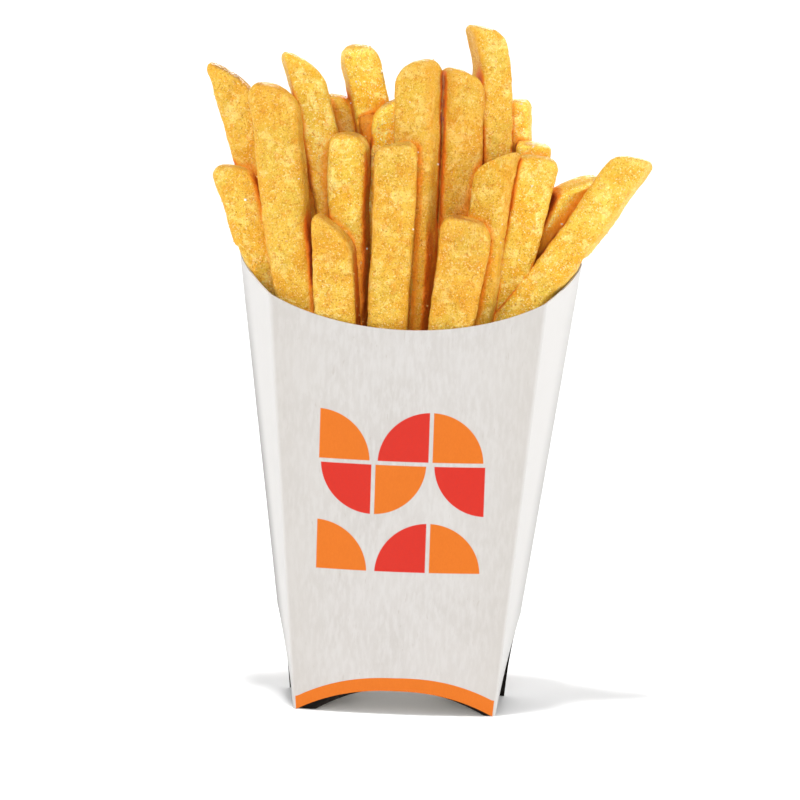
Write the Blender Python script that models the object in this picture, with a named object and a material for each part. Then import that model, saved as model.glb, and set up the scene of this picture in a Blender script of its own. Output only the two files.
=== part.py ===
"""French fries in a folded paperboard carton: the board shell, and the bundle of fries in it.

Run with: blender --background --python part.py
Sizes below are in millimetres, measured from the carton's own axis, and are turned to metres by MM.
X runs to the right, Y away from the front and Z up. The finished model is then moved so that the
middle of its footprint is the origin.
"""
import math
import random
from collections import namedtuple

import bmesh
import bpy
from mathutils import Vector

MM = 0.001

# The carton's board and outline
BOARD = 0.5
BASE_HALF_WIDTH = 26.3
BASE_SIDE_BOW = 1.3
SEAM_END_HEIGHT = 24.6
SEAM_END_HALF_WIDTH = 32.0
TIP_HEIGHT = 117.9
TIP_HALF_WIDTH = 44.4
CREASE_TOP_HALF_WIDTH = 36.4
CREASE_BASE_DEPTH = 14.5
CREASE_TOP_DEPTH = 17.0
FACE_BASE_BULGE = 2.5
FACE_TOP_BULGE = 5.0
FRONT_RIM_HEIGHT = 101.9
FRONT_RIM_POWER = 0.63
BACK_RIM_HEIGHT = 128.0
BACK_FOOT_SPLAY = 1.4

# The curved base panel and the slit that parts each side wall into two feet
ARCH_HEIGHT = 6.4
ARCH_POWER = 2.3
FOOT_SHARE = 0.97
SLIT_FRONT_WIDTH = 12.5
SLIT_BACK_WIDTH = 8.0
SLIT_START = 25.0
SLIT_REACH = 12.0

# How finely the shell is faceted
FACE_STEPS = 16
STRIP_STEPS = 4
WALL_ROWS = 9

# The fries: the gap they keep to the board, and the core that they stand in
WALL_GAP = 0.9
CORE_BASE_GAP = 0.6
CORE_TOP = 89.0
CORE_ROWS = 4
FOOT_HEIGHT = 84.0
FRY_DEPTH = 9.0
CORNER_CUT = 0.22
TIP_ROUND = (0.62, 0.9, 1.0)
TIP_STEPS = (0.0, 1.0, 3.2)
HOOK_REACH = 14.0

# The fries at the back, which are set by a rule: a row along the back wall and one before it
BACK_ROWS = ((0.6, 6, 27.0), (8.5, 4, 24.0))
BACK_TIP_TOP = 150.0
BACK_TIP_FALL = 17.0
BACK_TIP_SPREAD = 22.0
BACK_SEED = 11

CARTON_COLOUR = (0.78, 0.77, 0.74, 1.0)
FRIES_COLOUR = (0.86, 0.53, 0.14, 1.0)

# One fry: its tip, its foot (at FOOT_HEIGHT), its width at both ends, its turn about its length
# (positive shows its right side), the slant of its tip (positive falls to the right), its bow, how
# far its end hooks to the left, and how round its tip is beside the others
Fry = namedtuple("Fry", "tip foot widths turn slant bow hook round", defaults=(0.0, 1.0))
FRIES_IN_SIGHT = (
    Fry((-50.0, 4.0, 166.8), (-23.0, 4.0), (9.6, 9.3), 0, 45, 0.0),
    Fry((-37.0, -7.0, 163.3), (-25.4, -12.5), (13.0, 9.8), 10, 20, 0.0, 0.0, 1.3),
    Fry((-45.8, -0.5, 141.4), (-24.0, -0.5), (10.4, 9.2), 0, 22, 0.0),
    Fry((-30.9, 2.0, 170.2), (-14.0, 0.0), (10.2, 9.2), -10, 38, 2.0),
    Fry((-20.0, 11.0, 159.0), (-12.0, 11.0), (9.2, 9.2), 0, 18, 0.0),
    Fry((-15.7, 8.0, 171.9), (0.0, 7.0), (9.6, 9.0), -12, 6, 1.0, 0.0, 1.2),
    Fry((-11.5, 3.5, 154.3), (2.2, 4.0), (7.0, 7.0), 0, 6, 0.0, 0.0, 0.5),
    Fry((-16.8, -6.0, 150.5), (-14.8, -8.0), (10.2, 10.0), 8, 6, 0.0),
    Fry((-4.2, -14.0, 149.4), (-5.0, -15.3), (11.2, 10.2), 0, -9, 0.0),
    Fry((-5.5, 0.5, 160.0), (-6.5, 0.0), (10.4, 10.4), 0, -28, 0.0),
    Fry((-20.2, -15.0, 130.2), (-17.0, -15.3), (10.5, 11.2), 6, 40, 0.5, 0.0, 1.2),
    Fry((0.4, -5.0, 170.0), (0.0, -7.0), (10.4, 9.4), 26, -18, 1.3),
    Fry((11.8, -1.0, 167.6), (10.0, -3.0), (11.2, 10.4), -15, 16, 0.5),
    Fry((18.2, 6.0, 178.4), (24.0, 4.0), (8.9, 8.8), -18, 14, 0.9, 2.4, 0.8),
    Fry((21.9, -8.0, 147.0), (15.0, -10.0), (9.8, 9.4), 20, -32, 0.0, 0.0, 0.7),
    Fry((14.5, -15.0, 130.9), (9.2, -15.3), (13.6, 9.8), 0, 6, 0.0, 0.0, 1.2),
    Fry((25.8, 11.0, 158.6), (28.0, 11.0), (7.4, 7.6), 0, 0, 0.0, 0.0, 0.8),
    Fry((30.7, 5.0, 148.4), (27.0, 4.5), (9.0, 8.6), 0, 2, 0.0, 0.0, 0.4),
    Fry((32.4, -3.0, 146.0), (20.4, -5.0), (10.6, 7.2), -8, -6, 0.0, 0.0, 0.8),
    Fry((43.4, 4.0, 141.0), (16.0, 2.0), (9.6, 9.0), -22, -42, 0.0, 0.0, 0.6),
    Fry((58.0, -1.0, 146.8), (11.5, -9.5), (9.6, 9.0), 10, -29, 1.0, 0.0, 0.5),
)


def mix(low, high, share):
    """The value that lies the given share of the way from low to high."""
    return low + (high - low) * share


def height_share(z):
    """How far up the wall a height is, 0 at the base and 1 at the tips."""
    return z / TIP_HEIGHT


def seam_half_width(z):
    """Half the carton's width at the side seams."""
    if z < SEAM_END_HEIGHT:
        base = BASE_HALF_WIDTH + BASE_SIDE_BOW
        return mix(base, SEAM_END_HALF_WIDTH, z / SEAM_END_HEIGHT)
    share = (z - SEAM_END_HEIGHT) / (TIP_HEIGHT - SEAM_END_HEIGHT)
    return mix(SEAM_END_HALF_WIDTH, TIP_HALF_WIDTH, share)


def crease_half_width(z, side):
    """Half the width between the creases; the back feet splay a little."""
    splay = 0.0
    if side > 0 and z < SEAM_END_HEIGHT:
        splay = BACK_FOOT_SPLAY * (1.0 - z / SEAM_END_HEIGHT)
    return mix(BASE_HALF_WIDTH, CREASE_TOP_HALF_WIDTH, height_share(z)) + splay


def wall_depth(x, z, side):
    """Distance from the axis plane to the outer wall at a place across the carton."""
    crease_x = crease_half_width(z, side)
    crease_y = mix(CREASE_BASE_DEPTH, CREASE_TOP_DEPTH, height_share(z))
    if abs(x) <= crease_x:
        bulge = mix(FACE_BASE_BULGE, FACE_TOP_BULGE, height_share(z))
        return crease_y + bulge * (1.0 - (x / crease_x) ** 2)
    seam_x = seam_half_width(z)
    return crease_y * max(0.0, (seam_x - abs(x)) / (seam_x - crease_x))


def rim_height(x, side):
    """Height of the rim: a deep scoop in front, a low arc at the back."""
    q = min(1.0, abs(x) / TIP_HALF_WIDTH)
    if side < 0:
        rise = TIP_HEIGHT - FRONT_RIM_HEIGHT
        return FRONT_RIM_HEIGHT + rise * (1.0 - (1.0 - q * q) ** FRONT_RIM_POWER)
    return mix(BACK_RIM_HEIGHT, TIP_HEIGHT, q * q)


def arch_height(x):
    """Height of the base panel's underside, with flat feet at both ends."""
    q = min(1.0, abs(x) / (BASE_HALF_WIDTH * FOOT_SHARE))
    return ARCH_HEIGHT * (1.0 - q ** ARCH_POWER)


def half_columns():
    """The columns from the left seam to the right seam, as pairs of part and place along it."""
    strip = [("left", (k / STRIP_STEPS) ** 1.5) for k in range(STRIP_STEPS)]
    face = [("face", 2.0 * k / FACE_STEPS - 1.0) for k in range(FACE_STEPS + 1)]
    mirrored = [("right", along) for _, along in reversed(strip)]
    return strip + face + mirrored


def column_place(column, z, side):
    """Plan position of a column of the outer surface at one height."""
    part, along = column
    crease_x = crease_half_width(z, side)
    if part == "face":
        x = along * crease_x
        return x, side * wall_depth(x, z, side)
    crease_y = mix(CREASE_BASE_DEPTH, CREASE_TOP_DEPTH, height_share(z))
    x = mix(seam_half_width(z), crease_x, along)
    return (-x if part == "left" else x), side * crease_y * along


def column_end(column, side, height_at):
    """Height at which a column meets a curved edge, found by a few repeats."""
    z = height_at(0.0)
    for _ in range(8):
        z = height_at(column_place(column, z, side)[0])
    return z


def loop_columns():
    """All columns round the carton: the front from left to right, then the back."""
    half = half_columns()
    front = [(column, -1) for column in half]
    back = [(column, 1) for column in reversed(half[1:-1])]
    return front + back


def wall_loop(share, lift, inset):
    """One ring of points round the wall, a share of the way from the base to the rim."""
    places = []
    for column, side in loop_columns():
        bottom = column_end(column, side, arch_height) + lift
        top = column_end(column, side, lambda x, s=side: rim_height(x, s))
        z = mix(bottom, top, share)
        x, y = column_place(column, z, side)
        places.append(Vector((x, y, z)))
    return inset_loop(places, inset) if inset else places


def inset_loop(places, distance):
    """Moves a ring of points inwards in plan by a distance, with mitred corners."""
    moved = []
    count = len(places)
    for k, place in enumerate(places):
        before = (place - places[k - 1]).to_2d().normalized()
        after = (places[(k + 1) % count] - place).to_2d().normalized()
        normal = Vector((-before.y - after.y, before.x + after.x)).normalized()
        mitre = max(0.5, normal.dot(Vector((-before.y, before.x))))
        step = normal * (distance / mitre)
        moved.append(Vector((place.x + step.x, place.y + step.y, place.z)))
    return moved


def add_ring(mesh, places):
    """Adds a ring of vertices, given in millimetres."""
    return [mesh.verts.new(place * MM) for place in places]


def bridge(mesh, lower, upper):
    """Joins two rings of equal length with quads that face outwards when the rings run
    anticlockwise seen from above."""
    count = len(lower)
    for k in range(count):
        n = (k + 1) % count
        mesh.faces.new((lower[k], lower[n], upper[n], upper[k]))


def close_across(mesh, ring, facing_down):
    """Closes a ring with strips that run from its front half to its back half."""
    half = len(ring) // 2
    for k in range(half):
        back, next_back = ring[-k % len(ring)], ring[-(k + 1) % len(ring)]
        corners = [ring[k], back, next_back, ring[k + 1]]
        face = list(dict.fromkeys(corners))
        if not facing_down:
            face.reverse()
        mesh.faces.new(face)


def finish_object(name, mesh, colour, roughness, smooth_angle):
    """Makes an object with its own material from a bmesh."""
    data = bpy.data.meshes.new(name)
    mesh.to_mesh(data)
    mesh.free()
    material = bpy.data.materials.new(name)
    material.use_nodes = True
    shader = material.node_tree.nodes["Principled BSDF"]
    shader.inputs["Base Color"].default_value = colour
    shader.inputs["Roughness"].default_value = roughness
    shader.inputs["Metallic"].default_value = 0.0
    data.materials.append(material)
    data.shade_smooth()
    data.set_sharp_from_angle(angle=math.radians(smooth_angle))
    thing = bpy.data.objects.new(name, data)
    bpy.context.scene.collection.objects.link(thing)
    return thing


def carton_shell():
    """The folded board: outer and inner wall, rim edge and curved base panel."""
    mesh = bmesh.new()
    shares = [k / WALL_ROWS for k in range(WALL_ROWS + 1)]
    outer = [add_ring(mesh, wall_loop(share, 0.0, 0.0)) for share in shares]
    inner = [add_ring(mesh, wall_loop(share, BOARD, BOARD)) for share in shares]
    for lower, upper in zip(outer, outer[1:]):
        bridge(mesh, lower, upper)
    for lower, upper in zip(inner, inner[1:]):
        bridge(mesh, upper, lower)
    bridge(mesh, outer[-1], inner[-1])
    close_across(mesh, outer[0], facing_down=True)
    close_across(mesh, inner[0], facing_down=False)
    bmesh.ops.recalc_face_normals(mesh, faces=mesh.faces)
    return finish_object("carton", mesh, CARTON_COLOUR, 0.5, 30.0)


def slit_cutter(side):
    """A wedge that opens one side wall below the end of its seam."""
    mesh = bmesh.new()
    below = -1.0
    spread = 1.0 - below / SEAM_END_HEIGHT
    front, back = -SLIT_FRONT_WIDTH * spread, SLIT_BACK_WIDTH * spread
    outline = ((front, below), (back, below), (0.0, SEAM_END_HEIGHT))
    ends = []
    for x in (SLIT_START, SLIT_START + SLIT_REACH):
        ends.append(add_ring(mesh, [Vector((side * x, y, z)) for y, z in outline]))
    bridge(mesh, ends[0], ends[1])
    mesh.faces.new(ends[0])
    mesh.faces.new(reversed(ends[1]))
    bmesh.ops.recalc_face_normals(mesh, faces=mesh.faces)
    cutter = finish_object("slit_cutter", mesh, CARTON_COLOUR, 0.5, 30.0)
    cutter.hide_render = True
    cutter.display_type = "WIRE"
    return cutter


def apply_boolean(target, operation, operands):
    """Joins or cuts the target by a collection of objects, which are then removed."""
    group = bpy.data.collections.new("operands")
    bpy.context.scene.collection.children.link(group)
    for thing in operands:
        bpy.context.scene.collection.objects.unlink(thing)
        group.objects.link(thing)
    modifier = target.modifiers.new(operation.lower(), "BOOLEAN")
    modifier.operation = operation
    modifier.operand_type = "COLLECTION"
    modifier.collection = group
    modifier.solver = "EXACT"
    graph = bpy.context.evaluated_depsgraph_get()
    result = bpy.data.meshes.new_from_object(target.evaluated_get(graph))
    target.modifiers.remove(modifier)
    target.data = result
    for thing in operands:
        bpy.data.objects.remove(thing)
    bpy.data.collections.remove(group)


def inside_carton(place):
    """Moves a point that is below the rim and too near the wall back inside the board."""
    side = 1 if place.y > 0 else -1
    z = place.z
    if z > rim_height(place.x, side) + 3.0:
        return place
    reach = seam_half_width(min(z, TIP_HEIGHT)) - BOARD - WALL_GAP
    x = max(-reach, min(reach, place.x))
    room = wall_depth(x, min(z, TIP_HEIGHT), side) - BOARD - WALL_GAP
    y = max(-room, min(room, place.y))
    return Vector((x, y, z))


def fries_core():
    """The solid that fills the carton below the rim and carries the fries."""
    mesh = bmesh.new()
    rings = []
    for row in range(CORE_ROWS + 1):
        places = []
        for place in wall_loop(0.0, BOARD + CORE_BASE_GAP, 0.0):
            lowest = place.z
            z = mix(lowest, CORE_TOP, row / CORE_ROWS)
            places.append((place, z))
        ring = []
        for (place, z), (column, side) in zip(places, loop_columns()):
            x, y = column_place(column, z, side)
            ring.append(Vector((x, y, z)))
        rings.append(add_ring(mesh, inset_loop(ring, BOARD + WALL_GAP)))
    for lower, upper in zip(rings, rings[1:]):
        bridge(mesh, lower, upper)
    close_across(mesh, rings[0], facing_down=True)
    close_across(mesh, rings[-1], facing_down=False)
    bmesh.ops.recalc_face_normals(mesh, faces=mesh.faces)
    return finish_object("fries", mesh, FRIES_COLOUR, 0.6, 40.0)


def fry_section(width, depth):
    """An eight-sided outline: a rectangle with its corners cut."""
    cut = CORNER_CUT * min(width, depth)
    half_w, half_d = 0.5 * width, 0.5 * depth
    return (
        (-half_w + cut, -half_d), (half_w - cut, -half_d),
        (half_w, -half_d + cut), (half_w, half_d - cut),
        (half_w - cut, half_d), (-half_w + cut, half_d),
        (-half_w, half_d - cut), (-half_w, -half_d + cut),
    )


def fry_object(name, fry, draw):
    """One fry: a bent, cut-cornered bar from its foot to its slanted tip."""
    mesh = bmesh.new()
    tip = Vector(fry.tip)
    foot = Vector((fry.foot[0], fry.foot[1], FOOT_HEIGHT))
    length = (tip - foot).length
    up = (tip - foot).normalized()
    turn = math.radians(fry.turn)
    across = Vector((math.cos(turn), -math.sin(turn), 0.0))
    across = (across - up * across.dot(up)).normalized()
    away = up.cross(across)
    slope = math.tan(math.radians(fry.slant))
    drop = abs(slope) * 0.25 * fry.widths[0]
    body = length - drop - TIP_STEPS[-1] - 4.0
    distances = [length - drop - step for step in TIP_STEPS] + [body * 0.62, body * 0.3, 0.0]
    scales = list(TIP_ROUND) + [1.0, 1.0, 1.0]
    slants = [1.0, 1.0, 1.0, 0.0, 0.0, 0.0]
    rings = []
    for distance, scale, slanted in zip(distances, scales, slants):
        share = distance / length
        hooked = max(0.0, (distance - length) / HOOK_REACH + 1.0)
        sideways = fry.bow * 4.0 * share * (1.0 - share) - fry.hook * hooked ** 2
        centre = foot + up * distance + across * sideways
        width = mix(fry.widths[1], fry.widths[0], share) * scale * draw.uniform(0.97, 1.03)
        depth = FRY_DEPTH * scale * draw.uniform(0.94, 1.04)
        ring = []
        for x, y in fry_section(width, depth):
            place = centre + across * x + away * y - up * (slope * x * slanted)
            ring.append(inside_carton(place))
        rings.append(add_ring(mesh, ring))
    for upper, lower in zip(rings, rings[1:]):
        bridge(mesh, lower, upper)
    mesh.faces.new(rings[0])
    mesh.faces.new(reversed(rings[-1]))
    bmesh.ops.recalc_face_normals(mesh, faces=mesh.faces)
    return finish_object(name, mesh, FRIES_COLOUR, 0.6, 40.0)


def back_fries(draw):
    """The fries behind those in sight: rows of uneven height, a distance off the back wall."""
    fries = []
    for off_wall, count, reach in BACK_ROWS:
        for k in range(count):
            x = mix(-reach, reach, k / (count - 1)) + draw.uniform(-1.5, 1.5)
            edge = (x / TIP_HALF_WIDTH) ** 2
            height = BACK_TIP_TOP - BACK_TIP_FALL * edge - draw.uniform(0.0, BACK_TIP_SPREAD)
            width = draw.uniform(8.6, 11.4)
            outer_x = abs(x) * 1.15 + 0.5 * width
            room = wall_depth(outer_x, FRONT_RIM_HEIGHT, 1) - BOARD - WALL_GAP - 0.5 * FRY_DEPTH
            y = room - off_wall
            tip = (x * 1.25 + draw.uniform(-2.0, 2.0), y + draw.uniform(0.5, 2.0), height)
            slant = draw.uniform(-35.0, 35.0)
            turn = draw.uniform(-8.0, 8.0)
            fries.append(Fry(tip, (x * 0.85, y - 2.0), (width, width * 0.95), turn, slant, 0.0))
    return fries


def keep_largest_body(thing):
    """Drops loose scraps and sealed hollows, so that one closed body is left."""
    mesh = bmesh.new()
    mesh.from_mesh(thing.data)
    bmesh.ops.triangulate(mesh, faces=mesh.faces)
    seen = set()
    bodies = []
    for start in mesh.verts:
        if start in seen:
            continue
        seen.add(start)
        body = [start]
        for vert in body:
            for edge in vert.link_edges:
                other = edge.other_vert(vert)
                if other not in seen:
                    seen.add(other)
                    body.append(other)
        bodies.append(body)
    bodies.sort(key=len)
    loose = [vert for body in bodies[:-1] for vert in body]
    bmesh.ops.delete(mesh, geom=loose, context="VERTS")
    mesh.to_mesh(thing.data)
    mesh.free()


def stand_on_origin(things):
    """Moves the meshes so that the middle of the whole footprint is the origin."""
    places = [vert.co for thing in things for vert in thing.data.vertices]
    low = Vector([min(place[axis] for place in places) for axis in range(3)])
    high = Vector([max(place[axis] for place in places) for axis in range(3)])
    shift = Vector((-(low.x + high.x) / 2.0, -(low.y + high.y) / 2.0, -low.z))
    for thing in things:
        for vert in thing.data.vertices:
            vert.co += shift


def main():
    """Builds the two objects in an empty scene."""
    for thing in list(bpy.data.objects):
        bpy.data.objects.remove(thing)
    carton = carton_shell()
    apply_boolean(carton, "DIFFERENCE", [slit_cutter(-1), slit_cutter(1)])
    fries = fries_core()
    draw = random.Random(BACK_SEED)
    layout = list(FRIES_IN_SIGHT) + back_fries(draw)
    bars = [fry_object("fry_%02d" % k, fry, draw) for k, fry in enumerate(layout)]
    apply_boolean(fries, "UNION", bars)
    keep_largest_body(fries)
    stand_on_origin([carton, fries])


main()
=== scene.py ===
"""The looks of french fries in a paperboard carton: board, print, crust, crumbs, floor and light.

Sizes of the object are in millimetres from the carton's own axis, and are turned into metres in the
frame by world(). X runs to the right, Y away from the front and Z up.
"""
import math
import random
from collections import namedtuple

import bmesh
import bpy
import numpy as np
from mathutils import Matrix, Vector, noise
from mathutils.bvhtree import BVHTree

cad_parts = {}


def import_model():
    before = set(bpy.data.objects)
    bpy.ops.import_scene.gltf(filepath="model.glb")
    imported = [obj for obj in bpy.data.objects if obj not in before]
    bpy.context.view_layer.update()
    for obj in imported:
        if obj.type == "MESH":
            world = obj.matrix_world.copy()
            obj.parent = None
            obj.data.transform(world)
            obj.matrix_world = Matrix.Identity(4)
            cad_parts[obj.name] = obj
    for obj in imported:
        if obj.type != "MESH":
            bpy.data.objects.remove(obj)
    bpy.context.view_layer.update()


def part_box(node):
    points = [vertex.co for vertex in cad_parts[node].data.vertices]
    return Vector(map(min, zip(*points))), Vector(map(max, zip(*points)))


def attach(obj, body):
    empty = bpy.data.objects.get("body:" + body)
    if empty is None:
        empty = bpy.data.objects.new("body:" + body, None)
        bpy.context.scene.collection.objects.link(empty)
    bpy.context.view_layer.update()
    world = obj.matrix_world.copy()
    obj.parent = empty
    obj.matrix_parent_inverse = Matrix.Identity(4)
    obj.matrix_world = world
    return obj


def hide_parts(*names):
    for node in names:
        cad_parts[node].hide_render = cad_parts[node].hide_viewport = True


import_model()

MM = 0.001

# The carton's board and outline, as in the solids
BOARD = 0.5
BASE_HALF_WIDTH = 26.3
BASE_SIDE_BOW = 1.3
SEAM_END_HEIGHT = 24.6
SEAM_END_HALF_WIDTH = 32.0
TIP_HEIGHT = 117.9
TIP_HALF_WIDTH = 44.4
CREASE_TOP_HALF_WIDTH = 36.4
CREASE_BASE_DEPTH = 14.5
CREASE_TOP_DEPTH = 17.0
FACE_BASE_BULGE = 2.5
FACE_TOP_BULGE = 5.0
FRONT_RIM_HEIGHT = 101.9
FRONT_RIM_POWER = 0.63
BACK_RIM_HEIGHT = 128.0
BACK_FOOT_SPLAY = 1.4
ARCH_HEIGHT = 6.4
ARCH_POWER = 2.3
FOOT_SHARE = 0.97
SLIT_FRONT_WIDTH = 12.5
SLIT_BACK_WIDTH = 8.0
SLIT_START = 25.0
SLIT_REACH = 12.0

# The side walls: the slits' reach below the feet, the back strips' splay beside them, the strips' bow
SLIT_BELOW = 1.0
SLIT_SPLAY = 0.85
STRIP_BOW = 0.5

# The print: a band along the base, and a square of quarter discs on the front
BAND_HEIGHT = 3.5
BAND_TILT = 0.03
BAND_SOFTNESS = 0.07
NO_BAND_RISE = 99.0
PRINT_TURN_IN = 0.45
PRINT_MIDDLE_HEIGHT = 59.7
TILE_PITCH = 14.6
TILE_COUNT = 3
TILE_DISC = 0.93
TILE_MARGIN = 0.035
TILE_SOFTNESS = 0.008
TILE_SHIFT = 8.0
ORANGE_PRINT = (0.60, 0.140, 0.006, 1.0)
RED_PRINT = (0.53, 0.018, 0.007, 1.0)

# The shade beside the seams, at the left and at the right, and towards the folds
SEAM_SHADE_REACH = 2.4
SEAM_SHADES = (1.0, 0.5)
SEAM_SHADE_POWER = 1.5
SEAM_SHADE_FADE = 60.0
FOLD_SHADE_POWER = 3

# How far the base panel hangs below the front arch, at the left and at the right
BASE_SAG = (1.8, 0.7)
SAG_RATE = 2.0
SAG_START = 0.4
SAG_POWER = 1.4
SAG_LIMIT = 0.97
SAG_INSET = 1.0
PANEL_LAP = 0.1

# How finely the board is modelled, and how near a surface or an edge a point counts as on it
FACE_STEPS = 72
STRIP_STEPS = 14
STRIP_CROWDING = 1.3
WALL_ROWS = 72
RIM_REPEATS = 8
LEAST_MITRE = 0.5
SHARP_ANGLE = 40.0
FACE_TOLERANCE = 0.05
SEAM_TOLERANCE = 0.1
CUT_TOLERANCE = 0.15
UNDERSIDE_INSET = 0.2
ARCH_SHADE_INSET = 0.9

# The fries: their feet, their thickness, their mesh, and how they keep inside the board
FOOT_HEIGHT = 84.0
FRY_DEPTH = 9.0
WALL_GAP = 0.3
LEAST_ROOM = 0.3
RIM_CLEARANCE = 2.2
HOOK_REACH = 14.0
TIP_REACH = 6.0
SLANT_SHARE = 0.25
FRY_MESH = (72, 100)
BACK_MESH = (40, 50)
TIP_FLAT_ROWS = 5
TIP_ROUND_ROWS = 9

# What is drawn for each fry: how square its section is, how round its tip is in width and in depth,
# how domed its tip is, its twist in degrees, how hollow its faces are, and its place in the noise
FRY_SEED = 101
CORNER_POWERS = (4.6, 7.5)
TIP_RADII = (2.3, 3.2)
THIN_RADII = (1.2, 1.9)
CROWNS = (0.02, 0.05)
MOST_TWIST = 7.0
MOST_HOLLOW = 0.05
SWAY_RANGE = 200.0

# How a fry wanders along its length, and its lumps: height, more height at edges, and fineness
NOISE_SEED = 1
DRIFT_FINENESS = 0.03
DRIFT_SPIN = 0.1
DRIFT_ACROSS = 0.7
DRIFT_AWAY = 0.6
SWELL_WIDTH = 0.05
SWELL_DEPTH = 0.06
FRY_LUMPS = ((0.30, 0.0, 0.12), (0.22, 0.0, 0.3), (0.10, 0.14, 0.75), (0.09, 0.0, 1.7))

# How hidden each point of a fry is, which the crust turns into painted shade: how far rays reach in metres,
# and how many there are
NOOK_REACH = 0.0075
NOOK_STEP = 2
NOOK_WAYS = 44
NOOK_START = 0.0006
NOOK_GRAZING = 0.1
NOOK_NEARNESS = 0.6

# The core below the rim
CORE_GAP = 1.3
CORE_HEIGHTS = (10.0, 30.0, 58.0, 86.0)
CORE_STEP = 3
CORE_LUMP = 1.6
CORE_LUMP_FINENESS = 0.12

# The fries behind: each row's distance off the wall, count and reach, then how they vary
BACK_SEED = 11
BACK_ROWS = ((0.6, 6, 27.0), (8.5, 4, 24.0))
BACK_GAP = 0.9
BACK_PLAY = 1.5
BACK_WIDTHS = (8.6, 11.4)
BACK_TAPER = 0.95
BACK_ROOM_SPREAD = 1.15
BACK_TIP_TOP = 150.0
BACK_TIP_FALL = 17.0
BACK_TIP_SPREAD = 22.0
BACK_TIP_FAN = 1.25
BACK_TIP_PLAY = 2.0
BACK_TIP_LEANS = (0.5, 2.0)
BACK_FOOT_FAN = 0.85
BACK_FOOT_LEAN = 2.0
BACK_SLANT = 35.0
BACK_TURN = 8.0
BACK_TONES = (-0.1, 0.4)
BACK_BROWNS = (0.2, 0.9)

# Salt and crumbs: how many, from what size to what size, and how likely a spot is by its way
SALT_SEED = 5
SALT_COUNT = 36
CRUMB_COUNT = 260
SALT_SIZES = (0.3, 0.6)
CRUMB_SIZES = (0.2, 0.5)
SALT_LIFT = 0.4
SPOT_CHANCE = 0.35
SPOT_FRONT_BIAS = 0.65
BURIED_ROWS = 20
GRAIN_STRETCH = (0.7, 1.3)
GRAIN_UNEVENNESS = (0.6, 1.0)
GRAIN_SHARP_ANGLE = 30.0

# Patches of the crust: each one's noise, where it begins and is full, its share and its colour
CRUST_PATCHES = (
    ("olive", 0.48, 0.64, 0.6, (0.72, 0.48, 0.045)),
    ("cream", 0.52, 0.62, 0.7, (0.95, 0.68, 0.16)),
    ("clouds", 0.54, 0.66, 0.5, (0.92, 0.60, 0.08)),
    ("clouds", 0.46, 0.34, 0.6, (0.74, 0.29, 0.006)),
    ("flecks", 0.57, 0.67, 0.7, (0.64, 0.23, 0.004)),
    ("grain", 0.58, 0.68, 0.85, (1.0, 0.82, 0.38)),
    ("grain", 0.43, 0.33, 0.8, (0.50, 0.18, 0.005)),
)

# The stage: the floor, the lights (suns as azimuth, elevation, strength and angle) and the camera
FLOOR_REACH = 4.0
SURROUNDINGS = 0.50
SUNS = (
    ("high_key", -30.0, 82.5, 2.0, 5.0),
    ("front_fill", -4.0, 15.0, 1.35, 25.0),
    ("back_fill", 176.0, 17.0, 1.1, 15.0),
)
SIDE_LIGHTS = (("left_side", (-0.9, -0.1, 0.25), 3.8), ("right_side", (0.9, -0.1, 0.25), 5.0))
SIDE_LIGHT_SIZE = (0.4, 0.7)
SIDE_LIGHT_TARGET = (0.0, 0.0, 0.10)
CAMERA_ELEVATION = math.radians(10.0)
CAMERA_AZIMUTH = math.radians(1.5)
CAMERA_ROLL = math.radians(1.92)
CAMERA_DISTANCE = 1.1
CAMERA_LENS = 190.0
CAMERA_AIM = (-1.56, 0.0, 80.1)
CAMERA_RANGE = 20.0

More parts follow.
